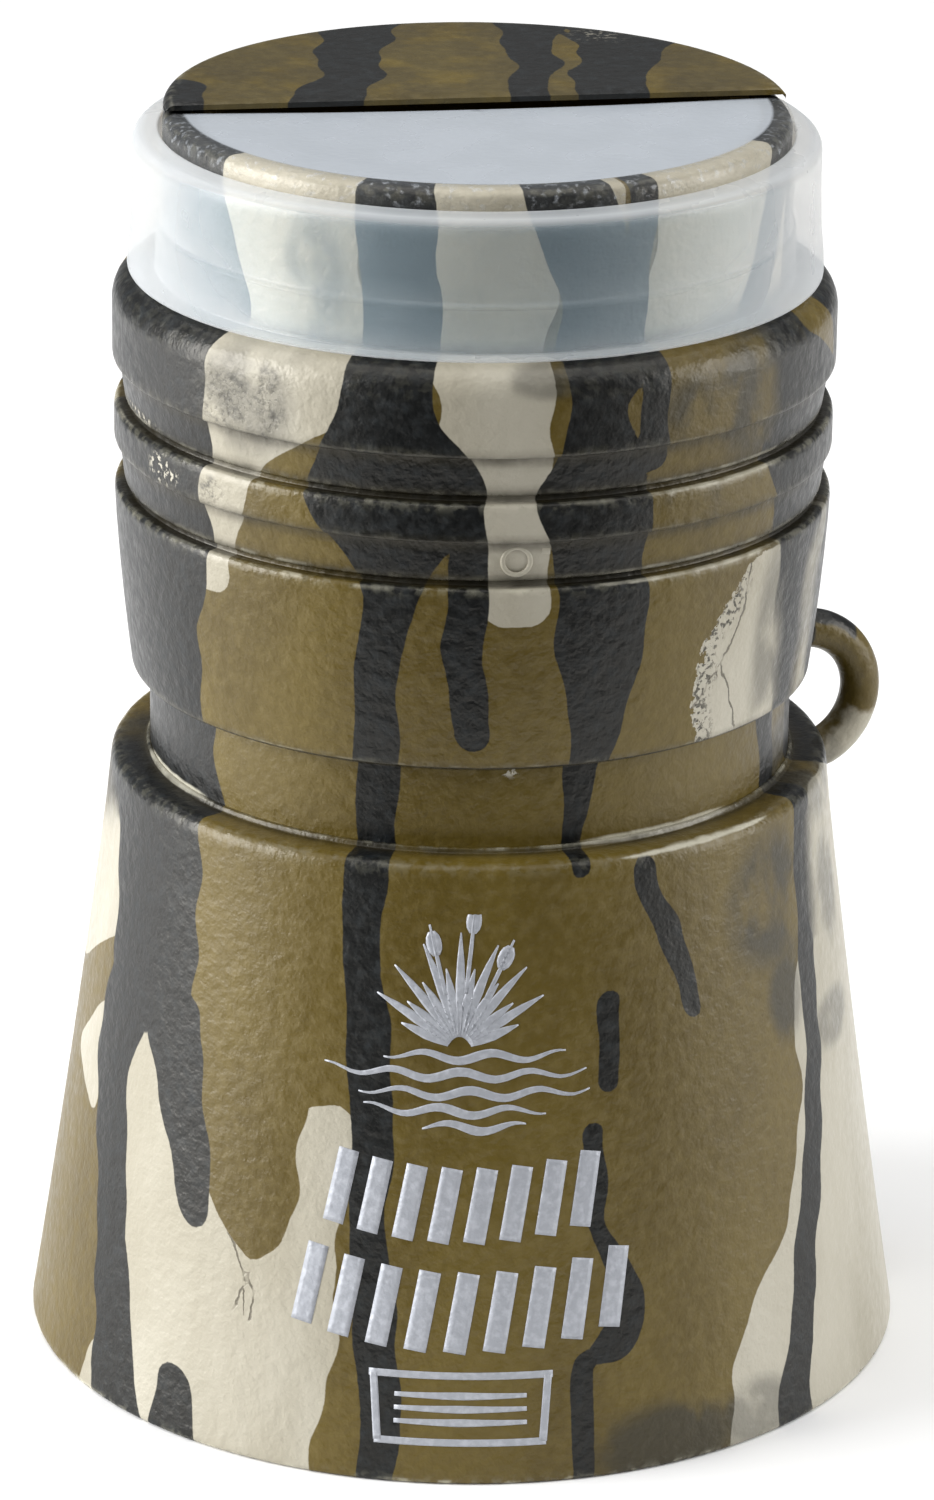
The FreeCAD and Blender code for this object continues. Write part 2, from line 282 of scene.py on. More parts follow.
OLIVE_BAYS = [[(28, -42, -21), (19, -40, -24), (16, -36, -26), (14, -32, -29)]]
# Where the film has flaked off the barrel. It is drawn on the barrel alone, so the seam below cuts it off.
BARREL_FLAKE = [(62.4, 50, 62), (60.8, 47.4, 62), (59.6, 44, 62), (57.5, 40.4, 62), (55.5, 38.2, 62),
                (53.5, 37.4, 62), (51.8, 38.4, 63), (50.6, 40.5, 64), (44, 42, 64)]
# Drips across the flat plate: (Y, left X, right X) in the mouth's millimetres.
PLATE_DRIPS = [
    [(-3, -14, -8), (12, -9, -5), (26, -7, 0)],
    [(-3, 2, 5), (12, 4, 7), (26, 5, 12)],
    [(-3, 6, 10), (10, 9, 15), (26, 8, 24)],
    [(-3, -24, -19), (7, -24, -19)],
]
END_ROUND = 1.3                  # largest round at a drip's end, mm
OUTSIDE = -8.0                   # depth in mm that counts as far outside every drip
SMOOTHING = 14                   # steps of 0.1 mm that soften a drip's levels to either side
SWAY_WAVES = ((0.5, 3.1), (0.3, 1.5), (0.2, 0.8))    # share, and mm for each radian
DRIFT = 0.8                      # of a whole drip to either side, in its own units
SWELL_SHARE, SWELL_LEAST, SWELL_MOST = 0.09, 0.3, 1.6    # of each side, as a share of the drip's width


def sway(heights, seed, size):
    """Slow random drift along a drip, at most size to either side and the same on every run."""
    rng = np.random.default_rng(seed)
    waves = (share * np.sin(heights / length + rng.uniform(0, 2 * math.pi)) for share, length in SWAY_WAVES)
    return size * sum(waves)


def drip_depth(levels, across, height, scale, seed):
    """How deep each point lies inside a drip, in mm, negative outside. scale is mm per unit across."""
    levels = sorted(levels)
    z = np.array([level[0] for level in levels], float)
    fine = np.arange(z[0], z[-1] + 0.05, 0.1)
    window = np.hanning(2 * SMOOTHING + 1)
    window /= window.sum()
    width = np.interp(fine, z, [level[2] - level[1] for level in levels])
    sides = []
    for column in (1, 2):
        side = np.interp(fine, z, [level[column] for level in levels])
        padded = np.concatenate([np.full(SMOOTHING, side[0]), side, np.full(SMOOTHING, side[-1])])
        swell = sway(fine, [seed, column], 1.0) * np.clip(SWELL_SHARE * width, SWELL_LEAST, SWELL_MOST)
        sides.append(np.convolve(padded, window, "valid") + swell + sway(fine, [seed, 0], DRIFT))
    at = np.clip(height, fine[0], fine[-1])
    left, right = (np.interp(at, fine, side) for side in sides)
    steep = [np.interp(at, fine, np.abs(np.gradient(side, fine))) * scale for side in sides]
    from_left = (across - left) * scale / np.sqrt(1 + np.minimum(steep[0], 2) ** 2)
    from_right = (right - across) * scale / np.sqrt(1 + np.minimum(steep[1], 2) ** 2)
    depth = np.minimum(from_left, from_right)
    size = np.clip((right - left) / 2 * scale, 0.1, END_ROUND)
    for inward in (height - fine[0], fine[-1] - height):
        rounded = size - np.hypot(np.clip(size - depth, 0, None), np.clip(size - inward, 0, None))
        depth = np.where(inward < size, np.minimum(depth, rounded), depth)
    return depth


def deepest(drips, across, height, scale, turns=(0.0,)):
    """Depth inside the nearest of several drips, each drawn afresh for every turn."""
    depth = np.full(np.shape(across), OUTSIDE)
    for round_trip, turn in enumerate(turns):
        placed = (across - turn + 180) % 360 - 180 if len(turns) > 1 else across
        for number, levels in enumerate(drips):
            seed = 100 * round_trip + 10 * number + len(drips)
            depth = np.maximum(depth, drip_depth(levels, placed, height, scale, seed))
    return depth


def patched(azimuth, z, patches):
    """1 at the middle of the nearest oval patch, 0 from its rim outwards."""
    reach = [np.hypot((azimuth - x) / width, (z - y) / height) for (x, y), (width, height) in patches]
    return unit(1 - np.min(reach, axis=0))


# Patches are ((azimuth, height), (half width in degrees, half height)). Cracks are lines of (azimuth, height).
WORN_PATCHES = [((-41, 74), (9, 3.5)), ((-33, 74), (4, 4)), ((-44, 67), (5, 1.5))]
FADED_PATCHES = [((68, 56), (16, 10)), ((-86, 62), (20, 8)), ((-84, 41), (16, 7)), ((69, 37), (8, 7)),
                 ((58, 74), (10, 7))]
CRACKS = [
    [(49.5, 62.5), (48, 58.2), (43.6, 55.2), (46, 53.2), (48.8, 50.4)],
    [(43.6, 55.2), (39, 52.6)],
    [(-34, 15.6), (-31.5, 13.4), (-29, 11.7), (-29.3, 10.2)],
    [(-30.2, 12.7), (-31.8, 10.6)],
]
CHIP_PATCHES = [((-57, 67.2), (6, 1.4)), ((7, 49.1), (2.6, 0.7)), ((-72, 69.3), (14, 0.6))]
# Where edges, and lines of their own, get a painted highlight.
EDGE_HIGHLIGHT_PATCHES = [((38, 62.9), (28, 0.8)), ((42, 68.8), (26, 0.8)), ((-74, 69.3), (14, 1.2))]
LINE_HIGHLIGHT_PATCHES = [((36, 43.5), (21, 0.34)), ((40, 42.95), (20, 0.26)), ((-66, 43.5), (18, 0.3))]
SMUDGES = [((75, 35), (7, 5)), ((71, 26), (10, 2.6)), ((55, 37), (14, 6)), ((56, 30), (6, 4)),
           ((28, 1.5), (14, 4)), ((42, 2), (9, 3)), ((78, 60), (14, 14)), ((-38, 74), (12, 5)),
           ((-30, 82), (9, 6)), ((58, 56), (8, 9)), ((-84, 44), (22, 7)), ((-82, 63), (16, 6)),
           ((36, 67), (8, 2.5)), ((46, 74), (22, 4)), ((54, 74), (16, 7)), ((60, 57), (9, 8)),
           ((58, 36), (13, 5)), ((12, 77), (9, 1.5)), ((76, 44), (14, 5))]
BACK_TURN = 171.0                # degrees to the drips' second copy, which sways in its own way
FAR = 3.0                        # mm from a crack that counts as none
FLAKE_TEAR_END = 54              # degrees; the flake's edge is torn to the left of here


def crack_offset(azimuth, z, scale):
    """Signed distance in mm across the nearest crack, and how near that crack is, from 0 to 1."""
    offset = np.full(len(azimuth), FAR)
    nearest = np.full(len(azimuth), FAR)
    for path in CRACKS:
        for (start_az, start_z), (end_az, end_z) in zip(path, path[1:]):
            run = np.stack([(end_az - start_az) * scale, np.full(len(scale), end_z - start_z)])
            length = np.hypot(*run)
            x, y = (azimuth - start_az) * scale, z - start_z
            along = (x * run[0] + y * run[1]) / length
            beside = (x * run[1] - y * run[0]) / length
            past = np.maximum(np.maximum(-along, along - length), 0)
            away = np.hypot(beside, past)
            offset = np.where(away < nearest, beside, offset)
            nearest = np.minimum(nearest, away)
    return offset, unit(1 - nearest)


def camouflage(verts, values, bare, flakes=()):
    """Adds the depth inside each colour, the marks of wear, the painted highlights and the unprinted share to
    a mesh's values.
    """
    azimuth = np.degrees(np.arctan2(verts[:, 0], -verts[:, 1]))
    z = verts[:, 2]
    scale = math.radians(1) * np.clip(np.hypot(verts[:, 0], verts[:, 1]), 20, None)
    turns = (0.0, BACK_TURN)
    bays = deepest(OLIVE_BAYS, azimuth, z, scale, turns)
    values["cream"] = np.minimum(deepest(CREAM_DRIPS, azimuth, z, scale, turns), -bays)
    values["dark"] = deepest(DARK_DRIPS, azimuth, z, scale, turns)
    values["flake"] = deepest(flakes, azimuth, z, scale)
    inside = unit(values["flake"] * 2 + 1)
    beside_edge = unit(1 - (values["flake"] - 0.4) / 2.4)
    values["brink"] = inside * unit((FLAKE_TEAR_END - azimuth) / 8) * beside_edge
    values["crack"], values["crack_near"] = crack_offset(azimuth, z, scale)
    marks = {"worn": WORN_PATCHES, "chips": CHIP_PATCHES, "smudge": SMUDGES, "faded": FADED_PATCHES}
    for key, patches in marks.items():
        values[key] = patched(azimuth, z, patches)
    # Painted highlights: along edges in some patches, and as lines of their own in others.
    edges, lines = (unit(patched(azimuth, z, places) * 2.5)
                    for places in (EDGE_HIGHLIGHT_PATCHES, LINE_HIGHLIGHT_PATCHES))
    values["painted_highlight"] = np.maximum(edges * values["edge"] * 0.8, lines)
    values["bare"] = bare
    return values


# ---- node helpers ------------------------------
class Graph:
    """Short calls for the nodes of one material."""

    def __init__(self, name):
        self.material = bpy.data.materials.new(name)
        self.material.use_nodes = True
        self.tree = self.material.node_tree
        self.shader = self.tree.nodes["Principled BSDF"]
        self.place = self.add("ShaderNodeTexCoord").outputs["Object"]

    def add(self, kind, **settings):
        node = self.tree.nodes.new(kind)
        for key, value in settings.items():
            setattr(node, key, value)
        return node

    def put(self, socket, value):
        if isinstance(value, bpy.types.NodeSocket):
            self.tree.links.new(value, socket)
        else:
            socket.default_value = value

    def math(self, operation, a, b=0.0, clamp=False):
        node = self.add("ShaderNodeMath", operation=operation, use_clamp=clamp)
        self.put(node.inputs[0], a)
        self.put(node.inputs[1], b)
        return node.outputs[0]

    def times(self, a, b):
        return self.math("MULTIPLY", a, b)

    def plus(self, a, b):
        return self.math("ADD", a, b)

    def value(self, name):
        return self.add("ShaderNodeAttribute", attribute_name=name).outputs["Fac"]

    def noise(self, size, detail=2.0, stretch=None, roughness=0.5):
        """Noise whose grains are about size mm; stretch scales X, Y and Z first."""
        node = self.add("ShaderNodeTexNoise")
        node.inputs["Scale"].default_value = 1 / (size * MM)
        node.inputs["Detail"].default_value = detail
        node.inputs["Roughness"].default_value = roughness
        place = self.place
        if stretch:
            mapping = self.add("ShaderNodeMapping")
            mapping.inputs["Scale"].default_value = stretch
            self.put(mapping.inputs["Vector"], place)
            place = mapping.outputs["Vector"]
        self.put(node.inputs["Vector"], place)
        return node.outputs["Fac"]

    def band(self, value, low, high, to_low=0.0, to_high=1.0):
        """Smooth rise or fall as value goes from low to high."""
        node = self.add("ShaderNodeMapRange", interpolation_type="SMOOTHSTEP")
        self.put(node.inputs["Value"], value)
        node.inputs["From Min"].default_value = low
        node.inputs["From Max"].default_value = high
        node.inputs["To Min"].default_value = to_low
        node.inputs["To Max"].default_value = to_high
        return node.outputs["Result"]

    def mix(self, share, first, second):
        node = self.add("ShaderNodeMix", data_type="RGBA")
        self.put(node.inputs["Factor"], share)
        self.put(node.inputs[6], first)
        self.put(node.inputs[7], second)
        return node.outputs[2]

    def bump(self, height, depth, normal=None):
        """Relief of depth mm."""
        node = self.add("ShaderNodeBump")
        node.inputs["Distance"].default_value = depth * MM
        self.put(node.inputs["Height"], height)
        if normal is not None:
            self.put(node.inputs["Normal"], normal)
        return node.outputs["Normal"]

    def set(self, **sockets):
        for key, value in sockets.items():
            self.put(self.shader.inputs[key.replace("_", " ")], value)
        return self.material


def colour(red, green, blue):
    """Display colour, 0 to 255, as the linear colour the shader needs."""
    parts = [((c / 255 + 0.055) / 1.055) ** 2.4 if c > 10 else c / 3294.6 for c in (red, green, blue)]
    return (*parts, 1.0)


# ---- materials ---------------------------------
OLIVE, OLIVE_DEEP, OLIVE_PALE = colour(94, 79, 28), colour(80, 66, 20), colour(124, 109, 62)
CHARCOAL, CHARCOAL_PALE = colour(8, 11, 13), colour(25, 31, 35)
CREAM, CREAM_DULL = colour(181, 176, 161), colour(160, 154, 137)


def pebbles(g, normal=None):
    """Leathery moulded grain, coarse over fine."""
    normal = g.bump(g.noise(0.85, 2.0), 0.09, normal)
    normal = g.bump(g.noise(0.26, 2.0), 0.025, normal)
    return g.bump(g.noise(3.2, 2.0), 0.06, normal)


def camo_material():
    """Satin film print over pebbled plastic: olive, cream and charcoal, painted shade in the grooves, rubbed
    edges and painted highlights.
    """
    g = Graph("camo_film")
    wobble = g.math("SUBTRACT", g.noise(3.6, 2.0), 0.5)
    ragged = g.math("SUBTRACT", g.noise(0.6, 2.0), 0.5)
    shift = g.plus(g.times(wobble, 0.36), g.times(ragged, 0.1))
    torn = g.times(g.math("SUBTRACT", g.noise(0.8, 4.0, None, 0.65), 0.46), g.value("brink"))
    flake = g.plus(g.value("flake"), g.times(torn, 5.0))
    crisp = g.band(g.value("faded"), 0.0, 0.35, 1.0, 0.035)
    cream_depth = g.times(g.plus(g.math("MAXIMUM", g.value("cream"), flake), shift), crisp)
    dark_depth = g.times(g.math("SUBTRACT", g.value("dark"), shift), crisp)
    cream = g.band(cream_depth, -0.05, 0.05)
    dark = g.band(dark_depth, -0.05, 0.05)
    broad = g.noise(9.0, 3.0, (1, 1, 0.35))
    fine = g.noise(0.8, 4.0)
    blotches = g.band(g.noise(4.5, 5.0, (1, 1, 0.7)), 0.34, 0.54)
    smudge = g.times(g.band(g.value("smudge"), 0.0, 0.5), blotches)

    olive = g.mix(g.band(broad, 0.35, 0.7), OLIVE_DEEP, OLIVE)
    olive = g.mix(g.band(fine, 0.35, 0.75, 0.0, 0.22), olive, OLIVE_PALE)
    olive = g.mix(g.times(smudge, 0.7), olive, CHARCOAL_PALE)
    pale = g.mix(g.band(broad, 0.3, 0.75), CREAM_DULL, CREAM)
    pale = g.mix(g.times(smudge, 0.5), pale, CHARCOAL_PALE)
    black = g.mix(g.band(fine, 0.4, 0.85), CHARCOAL, CHARCOAL_PALE)
    printed = g.mix(dark, g.mix(cream, olive, pale), black)

    worn = g.math("MAXIMUM", g.value("worn"), g.times(g.value("brink"), 0.8))
    worn = g.plus(worn, g.times(g.noise(1.3, 4.0), 0.9))
    speckle = g.times(g.band(g.noise(0.36, 4.0), 0.5, 0.6), g.band(worn, 0.75, 1.2))
    speckle = g.times(speckle, g.times(cream, g.band(g.value("brink"), 0.0, 0.3, 0.35, 0.9)))
    printed = g.mix(speckle, printed, colour(52, 50, 42))
    smear = g.band(g.noise(1.5, 6.0, (1, 1, 1.5), 0.7), 0.46, 0.66)
    smear = g.times(smear, g.band(g.value("worn"), 0.0, 0.5))
    printed = g.mix(g.times(smear, g.times(cream, 0.85)), printed, colour(66, 65, 60))
    crease = g.plus(g.value("crack"), g.times(g.math("SUBTRACT", g.noise(1.2, 4.0), 0.5), 0.9))
    crack = g.band(g.math("ABSOLUTE", crease), 0.03, 0.13, 1.0, 0.0)
    crack = g.times(crack, g.band(g.noise(1.6, 2.0), 0.36, 0.5, 0.3, 1.0))
    crack = g.times(crack, g.times(cream, g.band(g.value("crack_near"), 0.35, 0.6)))
    printed = g.mix(g.times(crack, 0.75), printed, colour(66, 60, 48))
    # Edges paler and glossier: partly rubbed wear, partly a painted highlight.
    rubbed_and_highlit = g.times(g.value("edge"), g.band(g.noise(0.7, 5.0), 0.46, 0.6))
    printed = g.mix(g.times(rubbed_and_highlit, 0.34), printed, colour(140, 138, 122))
    # Painted highlight: broken bright glints along the edges.
    glint = g.times(g.band(g.value("edge"), 0.35, 0.9), g.band(g.noise(2.6, 4.0), 0.52, 0.62))
    glint = g.times(glint, g.math("SUBTRACT", 0.5, g.times(dark, 0.3)))
    printed = g.mix(glint, printed, colour(200, 196, 176))
    # Painted highlight: bright lines on the collar, the shoulder and some rib edges.
    bright = g.times(g.value("painted_highlight"), g.plus(g.noise(1.2, 4.0), 0.5))
    printed = g.mix(g.band(bright, 0.35, 0.9, 0.0, 0.75), printed, colour(208, 204, 186))
    chips = g.times(g.band(g.value("chips"), 0.05, 0.5), g.band(g.noise(0.5, 3.0), 0.54, 0.6))
    printed = g.mix(chips, printed, CREAM)
    # Painted shade: the grooves, the barrel's seam and the ribs' creases are darkened in colour.
    groove_shade = g.times(g.value("groove"), g.band(g.noise(2.0, 3.0), 0.2, 0.8, 0.4, 0.85))
    printed = g.mix(groove_shade, printed, colour(34, 29, 12))
    final = g.mix(g.value("bare"), printed, g.mix(g.band(broad, 0.3, 0.7), OLIVE_DEEP, OLIVE))

    normal = pebbles(g, g.bump(g.plus(g.plus(chips, speckle), crack), -0.05))
    rough = g.band(fine, 0.3, 0.75, 0.31, 0.45)
    rough = g.math("SUBTRACT", rough, g.times(rubbed_and_highlit, 0.1))
    return g.set(Base_Color=final, Roughness=rough, Normal=normal, Specular_IOR_Level=0.44,
                 Specular_Tint=(1.0, 0.96, 0.88, 1.0))


def veil_material(name, thin, thick, through, clear, cloudy, graze, key, rough):
    """Translucent sheet seen mostly by what is behind it. key names the point value that thickens it.

    Light comes through the sheet more freely than sight does, so it weighs less on shadow rays.
    """
    g = Graph(name)
    cloud = g.noise(5.0, 3.0)
    facing = g.add("ShaderNodeLayerWeight")
    facing.inputs["Blend"].default_value = 0.5
    share = g.plus(g.times(g.value(key), cloudy - clear), clear)
    share = g.plus(share, g.band(facing.outputs["Facing"], 0.15, 0.9, 0.0, graze))
    # Painted highlight: whitish spots of thicker sheet, standing in for glints off its crinkles.
    glint_fleck = g.times(g.band(g.noise(0.5, 4.0), 0.54, 0.7), g.value("glint_fleck"))
    share = g.plus(share, glint_fleck)
    share = g.math("ADD", share, g.band(cloud, 0.2, 0.8, -0.02, 0.02), clamp=True)
    base = g.mix(g.band(g.plus(share, g.times(cloud, 0.1)), 0.15, 0.5), thin, thick)
    shadow = g.add("ShaderNodeLightPath").outputs["Is Shadow Ray"]
    share = g.times(share, g.math("SUBTRACT", 1.0, g.times(shadow, 0.9)))
    normal = g.bump(g.noise(0.6, 3.0), 0.02)
    g.set(Base_Color=base, Roughness=g.band(cloud, 0.3, 0.7, rough, rough + 0.1), Normal=normal, IOR=1.8)
    see_through = g.add("ShaderNodeBsdfTransparent")
    g.put(see_through.inputs["Color"], g.mix(shadow, through, (1, 1, 1, 1)))
    blend = g.add("ShaderNodeMixShader")
    g.put(blend.inputs[0], share)
    g.put(blend.inputs[1], see_through.outputs[0])
    g.put(blend.inputs[2], g.shader.outputs[0])
    g.put(g.tree.nodes["Material Output"].inputs["Surface"], blend.outputs[0])
    return g.material


def ink_material():
    """Silver-grey pad print, thin enough to break up a little over the pebbles."""
    g = Graph("silver_ink")
    base = g.mix(g.band(g.noise(0.5, 3.0), 0.4, 0.75), colour(162, 165, 172), colour(180, 183, 190))
    rough = g.band(g.noise(0.8), 0.3, 0.7, 0.38, 0.5)
    return g.set(Base_Color=base, Roughness=rough, Normal=pebbles(g), Metallic=0.15)


def rubber_material():
    g = Graph("greased_rubber")
    base = g.mix(g.band(g.noise(1.2, 3.0), 0.35, 0.7), colour(24, 24, 25), colour(44, 44, 46))
    normal = g.bump(g.noise(0.3, 2.0), 0.02)
    return g.set(Base_Color=base, Roughness=g.band(g.noise(2.0), 0.3, 0.7, 0.3, 0.5), Normal=normal)


def floor_material():
    g = Graph("pale_floor")
    base = g.mix(g.band(g.noise(60.0), 0.3, 0.7), colour(244, 244, 244), colour(246, 246, 246))
    return g.set(Base_Color=base, Roughness=0.9, Specular_IOR_Level=0.1)


# ---- pieces ------------------------------------
def facing_in(points):
    """1 where a closed outline faces the tube's axis, else 0."""
    after = np.roll(points, -1, axis=0) - np.roll(points, 1, axis=0)
    outward = after[:, 1] * winding(points) / np.linalg.norm(after, axis=1)
    return (outward < -0.25).astype(float)


def painted_shell(name, points, bare, flakes=()):
    """Full turn of an outline with its camouflage, and painted shade at the barrel's seam and in the ribs'
    creases.
    """
    verts, faces, values = shell(points)
    z = verts[:, 2]
    seam = unit(1.6 - np.abs(z - BARREL_BOTTOM + 0.15) / 0.25)
    crease = np.max([unit(1.4 - np.abs(z - height) / 0.3) for height in RIB_CREASES], axis=0)
    # Painted shade at the seam and the creases, carried in the groove value.
    values["groove"] = np.max([values["groove"], SEAM_SHADE * seam, CREASE_SHADE * crease], axis=0)
    values["edge"] = values["edge"] * (1 - np.maximum(seam, CREASE_CLEAN * crease))
    return make_object(name, verts, faces, camouflage(verts, values, np.tile(bare, SEGMENTS), flakes))


def bell_flank(count):
    """Points up the bell's outside, from its foot to the bend below the shoulder."""
    foot, bend = (FOOT_RADIUS, 0), (SHOULDER_RADIUS, SHOULDER_BEND_Z)
    return circle_through(foot, (WAIST_RADIUS, WAIST_Z), bend, count)


def bell():
    inside = [(SHOULDER_RADIUS - WALL, SHOULDER_Z - WALL - 0.4), (WAIST_RADIUS - WALL, WAIST_Z)]
    corners = [(FOOT_RADIUS - WALL, 0, 0.4), (FOOT_RADIUS, 0, 0.45)]
    corners += [(r, z, 0) for r, z in bell_flank(12)[1:-1]]
    corners += [
        (SHOULDER_RADIUS, SHOULDER_Z, 0.9),
        (COLLAR_FOOT_RADIUS, SHOULDER_Z, 0.15),
        (COLLAR_TOP_RADIUS, COLLAR_TOP, 0.12),
        (NECK_RADIUS, COLLAR_TOP, 0.05),
        (NECK_RADIUS, SHOULDER_Z - WALL, 0.1),
        (SHOULDER_RADIUS - WALL, SHOULDER_Z - WALL, 0.3),
    ]
    corners += [(r, z, 0) for r, z in inside]
    points = divide(soften(corners))
    return painted_shell("bell", points, facing_in(points))


def neck():
    low, high = SEAL_Z - SEAL_WIDTH / 2, SEAL_Z + SEAL_WIDTH / 2
    flange = SHOULDER_Z - WALL
    corners = [
        (NECK_BORE, NECK_LOW[2], 0.3),
        (NECK_HIGH[0], NECK_LOW[2], 0.2),
        (NECK_HIGH[0], flange, 0.1),
        (NECK_RADIUS, flange, 0.1),
        *((NECK_RADIUS, BARREL_BOTTOM + rise, 0) for rise in (-0.55, -0.3, 0, 0.25)),
        (NECK_RADIUS, low, 0.12),
        (NECK_RADIUS - SEAL_DEPTH, low, 0.2),
        (NECK_RADIUS - SEAL_DEPTH, high, 0.2),
        (NECK_RADIUS, high, 0.12),
        (NECK_RADIUS, NECK_HIGH[2], 0.7),
        (NECK_BORE, NECK_HIGH[2], 0.3),
    ]
    points = divide(soften(corners))
    bare = np.maximum(facing_in(points), points[:, 1] > BARREL_BOTTOM + 1.2)
    return painted_shell("neck", points, bare)


def rib(bottom, edge, band_low, band_high, face):
    """Corners of an undercut band and the foot of the face above it."""
    return [
        (GROOVE_RADIUS, bottom, 0.12),
        (band_low, bottom, 0.15),
        (band_high, edge, 0.1),
        (face, edge, 0.35),
    ]


def barrel():
    flank = circle_through((BARREL_FOOT_RADIUS, BARREL_BOTTOM), (24.5, 56.0), (BARREL_RADIUS, 62.3), 7)[1:-1]
    brow = circle_through((UPPER_RIB_RADIUS, 75.9), (24.5, 77.2), (22.8, RIM_FOOT), 8)
    corners = [(SLIP_BORE, BARREL_BOTTOM, 0.15), (BARREL_FOOT_RADIUS, BARREL_BOTTOM, 0.2)]
    corners += [(r, z, 0) for r, z in flank]
    corners += [(BARREL_RADIUS, SKIRT_TOP, 0.6), (GROOVE_RADIUS, SKIRT_TOP, 0.12)]
    corners += rib(*LOWER_RIB)
    corners += [(BARREL_RADIUS, LOWER_RIB_TOP, 0.65), (GROOVE_RADIUS, LOWER_RIB_TOP, 0.12)]
    corners += rib(*UPPER_RIB)
    corners += [(r, z, 0) for r, z in brow]
    corners += [
        (RIM_RADIUS, RIM_FOOT, 0.2),
        (RIM_RADIUS, RIM_TOP, 0.85),
        (WINDOW_RADIUS, RIM_TOP, 0.35),
        (WINDOW_RADIUS, RIM_TOP - 1.8, 0.2),
        (THROAT_RADIUS, RIM_TOP - 2.5, 0.2),
        (THROAT_RADIUS, LEDGE_Z, 0.2),
        (SLIP_BORE, LEDGE_Z, 0.2),
    ]
    points = divide(soften(corners))
    return painted_shell("barrel", points, facing_in(points), [BARREL_FLAKE])


def barrel_gate():
    """Raised ring and square tab where the barrel's mould was filled."""
    per_degree = math.radians(1) * GATE_RADIUS
    verts, faces = [], []
    around, across = 48, 10
    for i in range(around):
        a = 2 * math.pi * i / around
        for k in range(across):
            b = 2 * math.pi * k / across
            reach = GATE_RING + GATE_WIRE * math.cos(b)
            rise = GATE_RADIUS + 0.02 + 0.13 * math.sin(b)
            azimuth = GATE_AZIMUTH + reach * math.cos(a) / per_degree
            verts.append(round_tube(rise, azimuth, GATE_Z + reach * math.sin(a)))
            here, there = i * across, (i + 1) % around * across
            faces.append((here + k, here + (k + 1) % across, there + (k + 1) % across, there + k))
    tab = len(verts)
    for rise, size in ((GATE_RADIUS - 0.15, 0.3), (GATE_RADIUS + 0.07, 0.3), (GATE_RADIUS + 0.12, 0.24)):
        for x, y in ((-size, -size), (size, -size), (size, size), (-size, size)):
            verts.append(round_tube(rise, GATE_AZIMUTH + (1.95 + x) / per_degree, GATE_Z + 0.75 + y))
    faces.append((tab + 3, tab + 2, tab + 1, tab))
    faces.append((tab + 8, tab + 9, tab + 10, tab + 11))
    for level in (tab, tab + 4):
        faces.extend((level + k, level + (k + 1) % 4, level + 4 + (k + 1) % 4, level + 4 + k)
                     for k in range(4))
    verts = np.array(verts)
    plain = np.zeros(len(verts))
    values = camouflage(verts, {"edge": plain + 0.3, "groove": plain}, plain)
    values["flake"][tab:] = 1
    return make_object("barrel_gate", verts, faces, values)


def eye():
    """Lanyard ring: a swept wire, thinner at its foot, that ends inside the bell's wall and the neck's."""
    verts, faces, dark, cream, smudge = [], [], [], [], []
    steps, around = 120, 36
    per_degree = 0.085               # mm along the wire
    angles = np.linspace(EYE_START, EYE_END, steps)
    turn = math.radians(EYE_TURN)
    out = np.array([math.sin(turn), -math.cos(turn), 0])
    side = np.array([math.cos(turn), math.sin(turn), 0])
    up = np.array([0, 0, 1.0])
    for i, angle in enumerate(angles):
        a = math.radians(angle)
        ray = out * math.cos(a) + up * math.sin(a)
        centre = out * EYE_OFFSET + up * EYE_Z + ray * EYE_RADIUS
        root = unit((-62 - angle) / 30)
        end = min(1.0, (i + 0.35) / 3, (steps - 0.65 - i) / 3)
        size = EYE_WIRE * math.sqrt(end) * (1 - 0.45 * root ** 2)
        for k in range(around):
            b = 2 * math.pi * k / around
            verts.append(centre + (ray * math.cos(b) + side * math.sin(b)) * size)
            outer_side = min((angle - 48) * per_degree, 1.4 * math.cos(b) - 0.7)
            dark.append(0.4 * max(outer_side, (angle - 84) * per_degree))
            cream.append(0.14 * min((-22 - angle) * per_degree, 0.6 + 1.3 * math.cos(b)))
            smudge.append(unit((-46 - angle) / 26) * unit(0.75 - 0.6 * math.cos(b)))
            if i:
                low, high = (i - 1) * around, i * around
                faces.append((low + k, low + (k + 1) % around, high + (k + 1) % around, high + k))
    faces.append(tuple(range(around - 1, -1, -1)))
    faces.append(tuple(range((steps - 1) * around, steps * around)))
    values = {"flake": np.full(len(verts), OUTSIDE), "dark": dark, "cream": cream, "smudge": smudge}
    return make_object("eye", verts, faces, values)


def to_mouth(verts):
    """Turns points from the mouth's own X and Y into the call's."""
    a = math.radians(MOUTH_TURN)
    x, y = verts[:, 0].copy(), verts[:, 1].copy()
    verts[:, 0] = x * math.cos(a) - y * math.sin(a)
    verts[:, 1] = x * math.sin(a) + y * math.cos(a)
    return verts


def join_layers(top, bottom, rows, columns):
    """Quads of two grids of one size, top and bottom, closed along their rims. Vertices run row by row."""
    shift = len(top)
    faces = []
    for i in range(rows - 1):
        for k in range(columns - 1):
            a, b = i * columns + k, (i + 1) * columns + k
            faces.append((a, a + 1, b + 1, b))
            faces.append((shift + b, shift + b + 1, shift + a + 1, shift + a))
    rim = list(range(columns))
    rim += [i * columns + columns - 1 for i in range(1, rows)]
    rim += [(rows - 1) * columns + k for k in range(columns - 2, -1, -1)]
    rim += [i * columns for i in range(rows - 2, 0, -1)]
    faces.extend((b, a, shift + a, shift + b) for a, b in zip(rim, rim[1:] + rim[:1]))
    return np.concatenate([top, bottom]), faces


